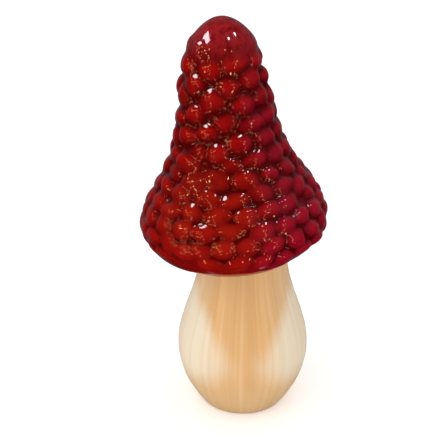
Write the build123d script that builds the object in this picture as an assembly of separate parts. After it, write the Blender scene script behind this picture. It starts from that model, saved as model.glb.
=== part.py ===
from build123d import *
import os
from math import pi

# Ceramic mushroom ornament in two loose pieces, a hollow stem and a leaning cone cap.
# The cap is a hollow clay cone covered with rows of pressed clay pellets. Its floor rests on a felt
# ring on the stem's shoulder, and a spigot on the stem goes up through the floor and keeps it there.
# The origin is the middle of the foot, on the table. +Z is up, and the front looks towards -Y.
# Lengths are in millimetres and angles in degrees.

# Stem
FOOT_R = 25.5  # outside of the bare ring that stands on the table
FOOT_RING_W = 6.0  # width of that ring
FOOT_RECESS = 2.0  # depth of the hollow inside the ring
FOOT_FLARE = 50.0  # angle of the wall above the table, where it leaves the foot
DRAIN_R = 4.0  # casting drain through the base
BULB_R = 41.2  # widest radius of the stem
BULB_Z = 39.0  # height of that widest place
NECK_R = 27.5  # radius of the neck
NECK_Z = 100.0  # height where the neck turns straight
SEAT_Z = 120.0  # height of the shoulder that carries the cap
STEM_WALL = 5.0  # wall of the stem, all round
SPIGOT_R = 18.0  # boss on the shoulder that the cap slips over
SPIGOT_H = 12.0  # height of that boss
SPIGOT_ROUND = 2.0  # rounding of its top edge

# Felt ring
FELT_T = 2.0  # thickness
FELT_INSET = 1.5  # from the neck's outside to the ring's edge

# Cone of the cap, upright, with heights above the rim plane
CONE_RIM_R = 47.0  # radius of the lower edge
SHOULDER_R = 54.2  # widest radius
SHOULDER_Z = 15.0  # height of that widest place
FLANK_R = 40.6  # radius half way down the hollow flank
FLANK_Z = 45.0  # height of that place
WAIST_R = 26.0  # radius where the cone has turned steep
WAIST_Z = 84.0  # height of that place
CROWN_R = 18.7  # radius of the upper edge
CROWN_Z = 121.5  # height of the upper edge
RIM_LEAN = 38.0  # angle of the wall above the rim plane, at the lower edge
CONE_WALL = 4.5  # wall of the cone, measured level

# Cap on the stem
RIM_DROP = 10.0  # the rim plane's middle hangs this far below the stem's shoulder
CAP_SHIFT = 4.8  # the cone stands this far off the stem's axis, towards -X
CAP_LEAN = 3.9  # the cone leans this far towards -X

# Smooth button that closes the cone
TIP_R = 21.8  # radius over the upper edge of the cone
TIP_H = 18.9  # height
TIP_BEND_R = 15.4  # radius where the button turns in
TIP_BEND_H = 10.5  # height of that place above the cone
TIP_PLUG_H = 5.0  # part of the button that goes down into the cone
TIP_LEAN = 72.0  # angle of the button's side above the cone's upper edge

# Rolled coil under the rim
COIL_R = 4.2  # radius of the coil
COIL_FLAT = 1.3  # height of its flat top above its middle

# Pellets on the cone
PELLET_W = 14.6  # width along the row
PELLET_H_RIM = 8.4  # height at the rim
PELLET_H_CROWN = 11.2  # height at the crown
PELLET_PROUD = 3.8  # how far a pellet stands off the cone
PELLET_GAP = 0.4  # groove between pellets
PELLET_FULL = 1.12  # size of the round lump, before its neighbours press its sides flat

# Floor and collar inside the cap
FLOOR_T = 5.0  # thickness of the floor slab
COLLAR_WALL = 4.0  # wall of the collar round the spigot's hole
COLLAR_H = 9.0  # height of the collar above the floor
SPIGOT_PLAY = 0.8  # room round the spigot, on the radius

SLIP = 0.15  # slip layer between two pieces of clay that are luted together


def flat_point(radius, height):
    """A point of a wheel-turned outline, in the XZ plane."""
    return (radius, 0, height)


def turned(*edges):
    """A solid turned about Z from edges that close an outline in the XZ plane."""
    return revolve(make_face(edges), Axis.Z)


def disc(radius, bottom, top):
    """A round slab on the Z axis between two heights."""
    return Pos(0, 0, bottom) * Cylinder(radius, top - bottom, align=(Align.CENTER, Align.CENTER, Align.MIN))


def closed_to_axis(outline):
    """The edges that close an outline, run from bottom to top, against the Z axis."""
    bottom = outline[0] @ 0
    top = outline[-1] @ 1
    path = [bottom, (0, 0, bottom.Z), (0, 0, top.Z), top]
    return [*outline, Polyline(*path)]


# Stem

FOOT_DIRECTION = Vector(1, 0, 0).rotate(Axis.Y, -FOOT_FLARE)
UP = (0, 0, 1)


def stem_outline(inset, foot_z, top_z):
    """The stem's wall as edges from the foot to top_z, moved in by inset."""
    foot = flat_point(FOOT_R - inset, foot_z)
    bulb = flat_point(BULB_R - inset, BULB_Z)
    neck = flat_point(NECK_R - inset, NECK_Z)
    top = flat_point(NECK_R - inset, top_z)
    return [
        Spline(foot, bulb, tangents=[FOOT_DIRECTION, UP]),
        Spline(bulb, neck, tangents=[UP, UP]),
        Line(neck, top),
    ]


def make_stem():
    """Hollow bottle-shaped stem with a recessed foot, a drain hole and a closed spigot on top.

    It is thrown in two sections, the bulb and the neck, luted together where the neck turns straight.
    """
    spigot_top = SEAT_Z + SPIGOT_H
    spigot = disc(SPIGOT_R, SEAT_Z, spigot_top)
    spigot = fillet(spigot.edges().group_by(Axis.Z)[-1], SPIGOT_ROUND)
    outside = turned(*closed_to_axis(stem_outline(0, 0, SEAT_Z))) + spigot

    hollow_floor = FOOT_RECESS + STEM_WALL
    hollow_top = SEAT_Z - STEM_WALL
    hollow = turned(*closed_to_axis(stem_outline(STEM_WALL, hollow_floor, hollow_top)))
    hollow += disc(SPIGOT_R - STEM_WALL, hollow_top - STEM_WALL, spigot_top - STEM_WALL)
    recess = disc(FOOT_R - FOOT_RING_W, 0, FOOT_RECESS)
    drain = disc(DRAIN_R, 0, hollow_floor + STEM_WALL)
    stem = outside - hollow - recess - drain
    bulb_room = disc(2 * BULB_R, 0, NECK_Z)
    return (stem & bulb_room).solid(), (stem - bulb_room).solid()


# Felt ring

BORE_R = SPIGOT_R + SPIGOT_PLAY
FLOOR_Z = SEAT_Z + FELT_T


def make_felt_ring():
    """Flat ring that lies on the stem's shoulder, under the cap's floor."""
    return disc(NECK_R - FELT_INSET, SEAT_Z, FLOOR_Z) - disc(BORE_R, SEAT_Z, FLOOR_Z)


# Cone of the cap, upright

COIL_TOP = COIL_R + COIL_FLAT
COIL_MIDDLE_R = CONE_RIM_R - CONE_WALL / 2
RIM_DIRECTION = Vector(1, 0, 0).rotate(Axis.Y, -RIM_LEAN)
RIM_Z = SEAT_Z - RIM_DROP
CAP_PLACE = Pos(-CAP_SHIFT, 0, RIM_Z) * Rot(0, -CAP_LEAN, 0)


def cone_outline(inset):
    """The cone's wall as edges from the lower edge to the upper one, moved in by inset."""
    rim = flat_point(CONE_RIM_R - inset, COIL_TOP)
    shoulder = flat_point(SHOULDER_R - inset, SHOULDER_Z)
    flank = flat_point(FLANK_R - inset, FLANK_Z)
    waist = flat_point(WAIST_R - inset, WAIST_Z)
    crown = flat_point(CROWN_R - inset, CROWN_Z)
    return [
        Spline(rim, shoulder, tangents=[RIM_DIRECTION, UP]),
        Spline(shoulder, flank, waist, crown, tangents=[UP, Vector(*crown) - Vector(*waist)]),
    ]


def make_cone():
    """Open hollow cone that carries the pellets."""
    inner = turned(*closed_to_axis(cone_outline(CONE_WALL)))
    return turned(*closed_to_axis(cone_outline(0))) - inner


def make_tip_button():
    """Smooth round button that closes the cone, with a plug that goes down into it."""
    edge = flat_point(TIP_R, CROWN_Z)
    bend = flat_point(TIP_BEND_R, CROWN_Z + TIP_BEND_H)
    tip = flat_point(0, CROWN_Z + TIP_H)
    side = Vector(-1, 0, 0).rotate(Axis.Y, TIP_LEAN)
    dome = Spline(edge, bend, tip, tangents=[side, (-1, 0, 0)])
    plug = disc(CROWN_R - CONE_WALL - SLIP, CROWN_Z - TIP_PLUG_H, CROWN_Z)
    return turned(dome, Polyline(tip, flat_point(0, CROWN_Z), edge)) + plug


def round_coil(grown):
    """The coil before it is pressed flat, thicker by grown on its radius."""
    return Pos(0, 0, COIL_R) * Torus(COIL_MIDDLE_R, COIL_R + grown)


def make_rim_coil():
    """Rolled coil under the cone's lower edge, flat on top where the cone stands on it."""
    return round_coil(0) - disc(SHOULDER_R, COIL_TOP, COIL_TOP + COIL_R)


# Pellets, in rows from the rim to the crown

CONE_LINE = Wire(cone_outline(0))


def row_seats():
    """The middle of each row along the cone's outline, with the height of its pellets."""
    mean_step = (PELLET_H_RIM + PELLET_H_CROWN) / 2 + PELLET_GAP
    count = round(CONE_LINE.length / mean_step)
    step = CONE_LINE.length / count
    growth = (PELLET_H_CROWN - PELLET_H_RIM) / (count - 1)
    seats = []
    reached = 0.0
    for row in range(count):
        row_step = step + growth * (row - (count - 1) / 2)
        seats.append((reached + row_step / 2, row_step - PELLET_GAP))
        reached += row_step
    return seats


def make_pellet_row(row, along, height, bed):
    """One ring of equal pellets, pressed on the bed under them. Every other row is half a pitch on."""
    seat = CONE_LINE.position_at(along, PositionMode.LENGTH)
    up_wall = CONE_LINE.tangent_at(along, PositionMode.LENGTH)
    count = round(2 * pi * seat.X / (PELLET_W + PELLET_GAP))
    width = 2 * pi * seat.X / count - PELLET_GAP
    outward = Vector(up_wall.Z, 0, -up_wall.X)
    lump = scale(Sphere(1), by=(PELLET_FULL * width / 2, PELLET_FULL * height / 2, PELLET_PROUD))
    pressed = lump & Box(width, height, 2 * PELLET_PROUD)
    pellet = (Plane(seat, x_dir=(0, 1, 0), z_dir=outward) * pressed - bed).solid()
    pitch = 360 / count
    first = pitch / 2 * (row % 2)
    return [Rot(0, 0, first + pitch * place) * pellet for place in range(count)]


# Floor and collar inside the cap

def make_floor():
    """Level slab across the inside of the leaning cone, with the spigot's hole through it."""
    inside = CAP_PLACE * turned(*closed_to_axis(cone_outline(CONE_WALL + SLIP)))
    slab = disc(2 * SHOULDER_R, FLOOR_Z, FLOOR_Z + FLOOR_T) & inside
    return slab - disc(BORE_R, FLOOR_Z, FLOOR_Z + FLOOR_T)


def make_collar():
    """Short upright ring on the floor, round the spigot."""
    bottom = FLOOR_Z + FLOOR_T
    top = bottom + COLLAR_H
    return disc(BORE_R + COLLAR_WALL, bottom, top) - disc(BORE_R, bottom, top)


def write(node, *solids):
    """Write one sub-part, of one solid or a group of separate ones, under its node's name."""
    shape = solids[0] if len(solids) == 1 else Compound(children=list(solids))
    export_step(shape, f"parts/{node}.step")


def main():
    os.makedirs("parts", exist_ok=True)
    bulb, neck = make_stem()
    write("stem_bulb", bulb)
    write("stem_neck", neck)
    write("felt_seat_ring", make_felt_ring().solid())
    write("cap_cone", CAP_PLACE * make_cone().solid())
    write("cap_tip_button", CAP_PLACE * make_tip_button().solid())
    write("cap_rim_coil", CAP_PLACE * make_rim_coil().solid())
    write("cap_floor", make_floor().solid())
    write("cap_socket_collar", make_collar().solid())

    under_button = disc(SHOULDER_R, CROWN_Z - SLIP, CROWN_Z + TIP_H)
    bed = turned(*closed_to_axis(cone_outline(-SLIP))) + round_coil(SLIP) + under_button
    for row, (along, height) in enumerate(row_seats()):
        pellets = make_pellet_row(row, along, height, bed)
        print(f"row {row + 1}: {len(pellets)} pellets, {height:.1f} mm high")
        write(f"pellet_row_{row + 1:02d}", *[CAP_PLACE * pellet for pellet in pellets])


main()
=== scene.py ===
# %% [markdown]
# # A glazed mushroom ornament
#
# The ornament is hand-made pottery in two loose pieces. A cream stem, shaped like a bottle, carries a
# red cone cap that leans a little to the left. The cap is covered in rows of pressed clay pellets under
# a thick glossy glaze.
#
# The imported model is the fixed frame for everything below. Each piece made here is in metres and in the
# same place as the solids that it stands for.

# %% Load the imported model
import math

import bpy
import numpy as np
from mathutils import Matrix, Vector


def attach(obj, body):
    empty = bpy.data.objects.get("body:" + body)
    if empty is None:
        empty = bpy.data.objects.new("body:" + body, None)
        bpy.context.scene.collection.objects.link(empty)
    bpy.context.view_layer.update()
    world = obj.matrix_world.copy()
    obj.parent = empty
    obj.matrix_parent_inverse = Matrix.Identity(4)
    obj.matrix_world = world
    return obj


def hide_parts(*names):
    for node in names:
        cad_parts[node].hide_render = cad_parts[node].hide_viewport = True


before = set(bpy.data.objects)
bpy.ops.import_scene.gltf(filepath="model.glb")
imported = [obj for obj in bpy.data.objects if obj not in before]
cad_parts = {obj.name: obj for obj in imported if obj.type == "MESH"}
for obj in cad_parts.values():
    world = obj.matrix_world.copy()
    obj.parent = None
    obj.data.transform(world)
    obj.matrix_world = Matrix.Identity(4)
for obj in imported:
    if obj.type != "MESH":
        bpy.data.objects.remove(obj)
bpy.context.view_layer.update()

MM = 0.001

# %% [markdown]
# ## Camera
#
# The photograph looks down at the ornament from the front, from about 24 degrees above the level. Its
# upper end is larger than its lower end by a few percent, so the camera stood about 0.7 m away. The
# camera aims a little to the left of the stem, because the ornament stands right of the middle of the
# picture. A lens is set from two lengths that are easy to measure: how far away the subject is, and how
# wide the picture is there.

# %% Make the camera
CAMERA_ELEVATION = math.radians(24)
CAMERA_DISTANCE = 0.733
CAMERA_AIM = Vector((-0.016, 0, 0.1248))
PICTURE_WIDTH = 0.2658  # at the aim

camera_data = bpy.data.cameras.new("photo_camera")
camera_data.lens = camera_data.sensor_width * CAMERA_DISTANCE / PICTURE_WIDTH
camera = bpy.data.objects.new("photo_camera", camera_data)
bpy.context.collection.objects.link(camera)
towards_camera = Vector((0, -math.cos(CAMERA_ELEVATION), math.sin(CAMERA_ELEVATION)))
camera.location = CAMERA_AIM + CAMERA_DISTANCE * towards_camera
camera.rotation_euler = (math.pi / 2 - CAMERA_ELEVATION, 0, 0)
bpy.context.scene.camera = camera
print(f"lens {camera_data.lens:.1f} mm")

# %% [markdown]
# ## Node helpers
#
# A node material is a small graph. It could be drawn by hand in the shader editor, but in a script
# every number can be read. A few helpers keep the graphs below short. They add a node and fill in its
# inputs, do sums, and make ramps and noise. An input is either a plain value or the output of another
# node.

# %% Helpers for single nodes
MIX_SHARE, MIX_COLOURS, MIXED_COLOUR = 0, (6, 7), 2  # sockets of a Mix node for colours
MIX_NUMBERS, MIXED_NUMBER = (2, 3), 0  # and for numbers


def fill(tree, socket, value):
    """Links a socket to another node's output, or sets its plain value."""
    if isinstance(value, bpy.types.NodeSocket):
        tree.links.new(value, socket)
    else:
        socket.default_value = value


def add_node(tree, kind, inputs=None, **settings):
    """Adds a node with its settings. Its inputs are keyed by a socket's name or number."""
    made = tree.nodes.new(kind)
    for name, value in settings.items():
        setattr(made, name, value)
    for key, value in (inputs or {}).items():
        fill(tree, made.inputs[key], value)
    return made


def maths(tree, operation, *values):
    """A Math node's output."""
    return add_node(tree, "ShaderNodeMath", dict(enumerate(values)), operation=operation).outputs[0]


def vector_maths(tree, operation, *values, out="Vector"):
    """A Vector Math node's output."""
    made = add_node(tree, "ShaderNodeVectorMath", dict(enumerate(values)), operation=operation)
    return made.outputs[out]


def scaled(tree, vector, factor):
    """A vector times a number."""
    made = add_node(tree, "ShaderNodeVectorMath", {0: vector, "Scale": factor}, operation="SCALE")
    return made.outputs["Vector"]


def axes_of(tree, vector):
    """The X, Y and Z outputs of a vector."""
    return add_node(tree, "ShaderNodeSeparateXYZ", {"Vector": vector}).outputs


def ramp(tree, value, stops):
    """A colour ramp's colour, with stops as (position, colour)."""
    made = add_node(tree, "ShaderNodeValToRGB", {"Fac": value})
    elements = made.color_ramp.elements
    while len(elements) < len(stops):
        elements.new(0.5)
    for element, (position, colour) in zip(elements, stops):
        element.position = position
        element.color = (*colour, 1)
    return made.outputs["Color"]


def mix_colour(tree, share, first, second, blend_type="MIX"):
    """The first colour mixed with the second one by a share from 0 to 1."""
    made = add_node(tree, "ShaderNodeMix", {MIX_SHARE: share}, data_type="RGBA", blend_type=blend_type)
    for key, colour in zip(MIX_COLOURS, (first, second)):
        plain = not isinstance(colour, bpy.types.NodeSocket)
        fill(tree, made.inputs[key], (*colour, 1) if plain else colour)
    return made.outputs[MIXED_COLOUR]


def mix_number(tree, share, first, second):
    """The first number mixed with the second one by a share from 0 to 1."""
    values = {MIX_SHARE: share, MIX_NUMBERS[0]: first, MIX_NUMBERS[1]: second}
    return add_node(tree, "ShaderNodeMix", values).outputs[MIXED_NUMBER]


def spread(tree, value, low, high, smooth=True):
    """A value between low and high as a share from 0 to 1."""
    kind = "SMOOTHSTEP" if smooth else "LINEAR"
    values = {"Value": value, "From Min": low, "From Max": high}
    return add_node(tree, "ShaderNodeMapRange", values, interpolation_type=kind).outputs["Result"]


def noise(tree, vector, scale, detail=2.0, roughness=0.5):
    """A noise value from 0 to 1 at a vector."""
    values = {"Vector": vector, "Scale": scale, "Detail": detail, "Roughness": roughness}
    return add_node(tree, "ShaderNodeTexNoise", values).outputs[0]


# %% Helpers for materials and shared groups
def new_material(name):
    """A material with an empty tree, its Principled shader and its object coordinates."""
    material = bpy.data.materials.new(name)
    material.use_nodes = True
    tree = material.node_tree
    tree.nodes.clear()
    shader = add_node(tree, "ShaderNodeBsdfPrincipled")
    add_node(tree, "ShaderNodeOutputMaterial", {"Surface": shader.outputs["BSDF"]})
    place = add_node(tree, "ShaderNodeTexCoord").outputs["Object"]
    return material, tree, shader, place


def add_bump(tree, shader, height, strength, distance):
    """Lets a height bend the shader's normal."""
    values = {"Height": height, "Strength": strength, "Distance": distance}
    bump = add_node(tree, "ShaderNodeBump", values)
    tree.links.new(bump.outputs["Normal"], shader.inputs["Normal"])


def new_group(name, inputs, outputs):
    """A shader node group with named inputs and outputs, and the sockets of its two end nodes."""
    group = bpy.data.node_groups.new(name, "ShaderNodeTree")
    for socket, kind, value in inputs:
        made = group.interface.new_socket(socket, in_out="INPUT", socket_type=kind)
        if value is not None:
            made.default_value = value
    for socket, kind in outputs:
        group.interface.new_socket(socket, in_out="OUTPUT", socket_type=kind)
    return group, add_node(group, "NodeGroupInput").outputs, add_node(group, "NodeGroupOutput").inputs


def use_group(tree, group, **values):
    """Places a group in a material with its own values, and gives its outputs."""
    made = add_node(tree, "ShaderNodeGroup", node_tree=group)
    for key, value in values.items():
        fill(tree, made.inputs[key.replace("_", " ")], value)
    return made.outputs


# %% [markdown]
# ## Studio
#
# The ornament stands on white. A wide pale floor fills the whole background, because the camera looks
# down, and an even white room lights it softly from all sides. Glazed ware is mostly seen by what it
# mirrors. The photograph's cap mirrors a dim room in front, pale walls behind and on the right, a
# window on the left, two lamps overhead and many small warm lamps. Those lamps only show in the glaze
# here and light nothing else, so they can be bright while the shading stays soft. The window is a small
# panel close to the tip, so that it shows on the tip and hardly anywhere else. One wide soft lamp in
# front does the reverse: it lights the ornament and isn't mirrored.

# %% Make the floor
FLOOR_REACH = 4.0
FLOOR_TONES = [(0.3, (0.94, 0.94, 0.94)), (0.7, (0.97, 0.97, 0.965))]
FLOOR_GLOW = 0.2

floor_mesh = bpy.data.meshes.new("studio_floor")
corners = [(x * FLOOR_REACH, y * FLOOR_REACH, 0) for x, y in ((-1, -1), (1, -1), (1, 1), (-1, 1))]
floor_mesh.from_pydata(corners, [], [(0, 1, 2, 3)])
floor = bpy.data.objects.new("studio_floor", floor_mesh)
bpy.context.collection.objects.link(floor)
floor_paint, tree, shader, place = new_material("pale_floor")
tone = ramp(tree, noise(tree, place, scale=6.0), FLOOR_TONES)
tree.links.new(tone, shader.inputs["Base Color"])
tree.links.new(tone, shader.inputs["Emission Color"])
shader.inputs["Emission Strength"].default_value = FLOOR_GLOW
shader.inputs["Roughness"].default_value = 0.9
shader.inputs["Specular IOR Level"].default_value = 0.1
floor_mesh.materials.append(floor_paint)
floor.visible_glossy = False
print(f"floor: {2 * FLOOR_REACH:.0f} m wide")

# %% Light the room
ROOM_LIGHT = (0.98, 0.98, 0.98)
FRONT_IN_GLAZE, BACK_IN_GLAZE = (0.004, 0.003, 0.003), (0.14, 0.1, 0.11)
RIGHT_IN_GLAZE = (0.07, 0.06, 0.068)
BACK_AND_UP, RIGHT_AND_UP = (0, 0.95, 0.3), (0.85, -0.3, 0.43)
BACK_FADE, RIGHT_FADE = (0.2, 0.9), (0.7, 1.0)

world = bpy.data.worlds.new("studio_room")
bpy.context.scene.world = world
world.use_nodes = True
tree = world.node_tree
tree.nodes.clear()
heading = add_node(tree, "ShaderNodeTexCoord").outputs["Generated"]
backwards = vector_maths(tree, "DOT_PRODUCT", heading, BACK_AND_UP, out="Value")
in_glaze = mix_colour(tree, spread(tree, backwards, *BACK_FADE), FRONT_IN_GLAZE, BACK_IN_GLAZE)
rightwards = vector_maths(tree, "DOT_PRODUCT", heading, RIGHT_AND_UP, out="Value")
in_glaze = mix_colour(tree, spread(tree, rightwards, *RIGHT_FADE), in_glaze, RIGHT_IN_GLAZE)
path = add_node(tree, "ShaderNodeLightPath")
seen = mix_colour(tree, path.outputs["Is Glossy Ray"], ROOM_LIGHT, in_glaze)
background = add_node(tree, "ShaderNodeBackground", {"Color": seen})
add_node(tree, "ShaderNodeOutputWorld", {"Surface": background.outputs["Background"]})
print("room:", len(tree.nodes), "nodes")

# %% Make a lamp
CAP_MIDDLE, CAP_TIP = Vector((-0.006, 0, 0.17)), Vector((-0.013, 0, 0.245))
LAMP_REACH, WINDOW_REACH = 1.2, 0.15
LAMP_POWER = 4  # watts from a square metre at a brightness of 1
WHITE, COOL, WARM = (1, 1, 1), (0.93, 0.97, 1.0), (1.0, 0.62, 0.25)


def add_lamp(name, heading, size, brightness, colour, aim=CAP_MIDDLE, reach=LAMP_REACH):
    """A rectangular lamp that is seen from a place on the cap in a heading, and only in the glaze."""
    data = bpy.data.lights.new(name, "AREA")
    data.shape = "RECTANGLE"
    data.size, data.size_y = size
    data.energy = LAMP_POWER * size[0] * size[1] * brightness
    data.color = colour
    lamp = bpy.data.objects.new(name, data)
    lamp.location = aim + reach * Vector(heading).normalized()
    lamp.rotation_euler = (aim - lamp.location).to_track_quat("-Z", "Y").to_euler()
    lamp.visible_camera = False
    lamp.visible_diffuse = False
    bpy.context.collection.objects.link(lamp)
    return lamp


# %% Hang the lamps
SOFT_FROM, SOFT_SIZE, SOFT_BRIGHTNESS = (-0.6, -0.7, 0.5), (1.2, 1.2), 0.6
WINDOW_FROM, WINDOW_SIZE, WINDOW_BRIGHTNESS = (-0.76, -0.09, 0.64), (0.075, 0.045), 11.0
ABOVE_FROM = [(0.253, -0.324, 0.911), (0.509, -0.006, 0.861)]
ABOVE_SIZE, ABOVE_BRIGHTNESS = (0.11, 0.09), 24.0
WARM_SIZE, WARM_BRIGHTNESS = (0.06, 0.05), 22.0
NEARER = 0.24  # the low lamps' reach and size, as a share of the others'
FRONT_PLACES = [(-41, -7), (-34, 1), (-44, 6), (39, -6), (33, -13), (43, 3)]  # turn and rise in degrees
HIGH_PLACES = [(-52, 14), (-66, 4), (-60, 25), (-70, 18), (-48, 33), (36, 17), (46, 27), (28, 31)]
LEFT_PLACES = [(-80, 12), (-92, 22)]
LOW_PLACES = [(-62, -30), (-48, -26), (-30, -33), (8, -30), (34, -27), (52, -32)]

soft_light = add_lamp("soft_front_light", SOFT_FROM, SOFT_SIZE, SOFT_BRIGHTNESS, WHITE)
soft_light.visible_diffuse = True
soft_light.visible_glossy = False
add_lamp("left_window", WINDOW_FROM, WINDOW_SIZE, WINDOW_BRIGHTNESS, COOL, CAP_TIP, WINDOW_REACH)
for number, heading in enumerate(ABOVE_FROM):
    add_lamp(f"lamp_above_{number + 1}", heading, ABOVE_SIZE, ABOVE_BRIGHTNESS, COOL)
far_places = FRONT_PLACES + HIGH_PLACES + LEFT_PLACES
for number, (turn, rise) in enumerate(np.radians(far_places + LOW_PLACES)):
    heading = (math.sin(turn) * math.cos(rise), -math.cos(turn) * math.cos(rise), math.sin(rise))
    share = 1.0 if number < len(far_places) else NEARER
    size = (WARM_SIZE[0] * share, WARM_SIZE[1] * share)
    add_lamp(f"warm_lamp_{number + 1}", heading, size, WARM_BRIGHTNESS, WARM, reach=LAMP_REACH * share)

# %% [markdown]
# ## Outlines turned on the wheel
#
# Both main pieces are round, as thrown pottery is. A potter's outline can be drawn with a curve object
# and the Screw modifier. Here a short function turns a list of (radius, height) points into a closed
# mesh, because every ring of vertices is then known and can be shifted by hand-made wobbles. Outlines
# start and end on the axis, so the mesh is closed at both ends.

# %% Helpers for outlines
UP, DOWN, OUT, IN = (0, 1), (0, -1), (1, 0), (-1, 0)


def smooth_line(points, first, last, count):
    """Points of a smooth curve through the given points. First and last are its directions at the ends."""
    given = np.array(points, float)
    steps = np.linalg.norm(np.diff(given, axis=0), axis=1)
    knots = np.concatenate([[0], np.cumsum(steps)])
    matrix = np.eye(len(given))
    sides = np.zeros_like(given)
    sides[0] = np.array(first) / np.linalg.norm(first)
    sides[-1] = np.array(last) / np.linalg.norm(last)
    slopes = np.diff(given, axis=0) / steps[:, None]
    for i in range(1, len(given) - 1):
        matrix[i, i - 1 : i + 2] = steps[i], 2 * (steps[i - 1] + steps[i]), steps[i - 1]
        sides[i] = 3 * (steps[i] * slopes[i - 1] + steps[i - 1] * slopes[i])
    tangents = np.linalg.solve(matrix, sides)
    at = np.linspace(0, knots[-1], count)
    span = np.clip(np.searchsorted(knots, at, side="right") - 1, 0, len(steps) - 1)
    width = steps[span][:, None]
    u = ((at - knots[span]) / steps[span])[:, None]
    start, end = given[span], given[span + 1]
    return (
        (2 * u**3 - 3 * u**2 + 1) * start
        + (u**3 - 2 * u**2 + u) * width * tangents[span]
        + (3 * u**2 - 2 * u**3) * end
        + (u**3 - u**2) * width * tangents[span + 1]
    )


def evenly(points, step):
    """The same line with points about a step apart."""
    line = np.array(points, float)
    reach = np.concatenate([[0], np.cumsum(np.linalg.norm(np.diff(line, axis=0), axis=1))])
    at = np.linspace(0, reach[-1], max(2, round(reach[-1] / step) + 1))
    return np.column_stack([np.interp(at, reach, line[:, i]) for i in range(2)])


def rounded(corner, before, after, radius, count=5):
    """Points of a small rounding at a corner between two directions."""
    t = np.linspace(0, 1, count)[:, None]
    start = np.array(corner) - radius * np.array(before)
    end = np.array(corner) + radius * np.array(after)
    return ((1 - t) ** 2 * start + 2 * t * (1 - t) * np.array(corner) + t**2 * end).tolist()


# %% Helpers for turned meshes
def smooth_object(name, vertices, faces):
    """An object with a smooth mesh of vertices in mm."""
    mesh = bpy.data.meshes.new(name)
    mesh.from_pydata((np.array(vertices) * MM).tolist(), [], [tuple(map(int, face)) for face in faces])
    mesh.polygons.foreach_set("use_smooth", np.ones(len(mesh.polygons), bool))
    mesh.update()
    thing = bpy.data.objects.new(name, mesh)
    bpy.context.collection.objects.link(thing)
    return thing


def turn_outline(name, outline, segments):
    """A closed mesh turned from (radius, height) points in mm, that start and end on the axis."""
    rings = np.array(outline[1:-1], float)
    angles = np.arange(segments) * 2 * math.pi / segments
    x = rings[:, :1] * np.cos(angles)
    y = rings[:, :1] * np.sin(angles)
    z = np.repeat(rings[:, 1:], segments, axis=1)
    body = np.stack([x, y, z], axis=2).reshape(-1, 3)
    poles = [(0, 0, outline[0][1]), (0, 0, outline[-1][1])]
    first, last = len(body), len(body) + 1
    here = np.arange(segments)
    after = (here + 1) % segments
    faces = [(first, a, b) for a, b in zip(here, after)]
    for ring in range(len(rings) - 1):
        up, down = ring * segments, (ring + 1) * segments
        faces += [(up + a, down + a, down + b, up + b) for a, b in zip(here, after)]
    end = (len(rings) - 1) * segments
    faces += [(end + a, last, end + b) for a, b in zip(here, after)]
    return smooth_object(name, np.vstack([body, poles]), faces)


def places_of(thing):
    """The places of an object's vertices in metres, one row each."""
    co = np.empty(3 * len(thing.data.vertices))
    thing.data.vertices.foreach_get("co", co)
    return co.reshape(-1, 3)


def move_to(thing, places):
    """Puts an object's vertices at places in metres."""
    thing.data.vertices.foreach_set("co", places.ravel())
    thing.data.update()


def signed_volume(thing):
    """The volume in cubic centimetres, which is positive where the faces point outwards."""
    thing.data.calc_loop_triangles()
    triangles = [list(triangle.vertices) for triangle in thing.data.loop_triangles]
    a, b, c = np.moveaxis(places_of(thing)[triangles], 1, 0)
    return float(np.einsum("ij,ij->i", a, np.cross(b, c)).sum() / 6 / (10 * MM) ** 3)


# %% [markdown]
# ## Stem
#
# The stem is a hollow bottle, closed on top by a spigot that the cap slips over. Its foot is a flat
# ring with a shallow hollow and a drain hole. The whole wall is one outline: down the outside, through
# the drain, and up the inside. A wheel leaves faint rings and the brush leaves faint upright ridges, so
# the outside gets both as real relief of under half a millimetre.

# %% Draw the stem's outline
FOOT_R, FOOT_RING_W, FOOT_RECESS, DRAIN_R = 25.5, 6.0, 2.0, 4.0
FOOT_FLARE = math.radians(50)
BULB_R, BULB_Z = 41.2, 39.0
NECK_R, NECK_Z = 27.5, 100.0
SEAT_Z, STEM_WALL = 120.0, 5.0
SPIGOT_R, SPIGOT_H, SPIGOT_ROUND = 18.0, 12.0, 2.0
EDGE_ROUND = 0.8
OUTSIDE_STEP, NECK_STEP, INSIDE_STEP = 1.0, 1.5, 4.0

flare = (math.cos(FOOT_FLARE), math.sin(FOOT_FLARE))


def stem_wall(inset, foot_z, count):
    """The stem's wall from the foot to the neck, moved in by inset."""
    low = smooth_line([(FOOT_R - inset, foot_z), (BULB_R - inset, BULB_Z)], flare, UP, count)
    high = smooth_line([(BULB_R - inset, BULB_Z), (NECK_R - inset, NECK_Z)], UP, UP, count)
    return np.vstack([low, high[1:]])


spigot_top = SEAT_Z + SPIGOT_H
outside = evenly(stem_wall(inset=0, foot_z=0, count=60), OUTSIDE_STEP)[1:]
recess_r = FOOT_R - FOOT_RING_W
floor_z = FOOT_RECESS + STEM_WALL
inside_top = SEAT_Z - STEM_WALL
stem_outline = [(0, spigot_top), (SPIGOT_R / 2, spigot_top)]
stem_outline += rounded((SPIGOT_R, spigot_top), OUT, DOWN, SPIGOT_ROUND)
stem_outline += rounded((SPIGOT_R, SEAT_Z), DOWN, OUT, EDGE_ROUND)
stem_outline += rounded((NECK_R, SEAT_Z), OUT, DOWN, EDGE_ROUND)
stem_outline += evenly([(NECK_R, SEAT_Z - 2 * EDGE_ROUND), (NECK_R, NECK_Z)], NECK_STEP)[:-1].tolist()
stem_outline += outside[::-1].tolist()
stem_outline += rounded((FOOT_R, 0), (-flare[0], -flare[1]), IN, EDGE_ROUND)
stem_outline += rounded((recess_r, 0), IN, UP, EDGE_ROUND / 2)
stem_outline += [(recess_r, FOOT_RECESS), (DRAIN_R + EDGE_ROUND, FOOT_RECESS)]
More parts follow.
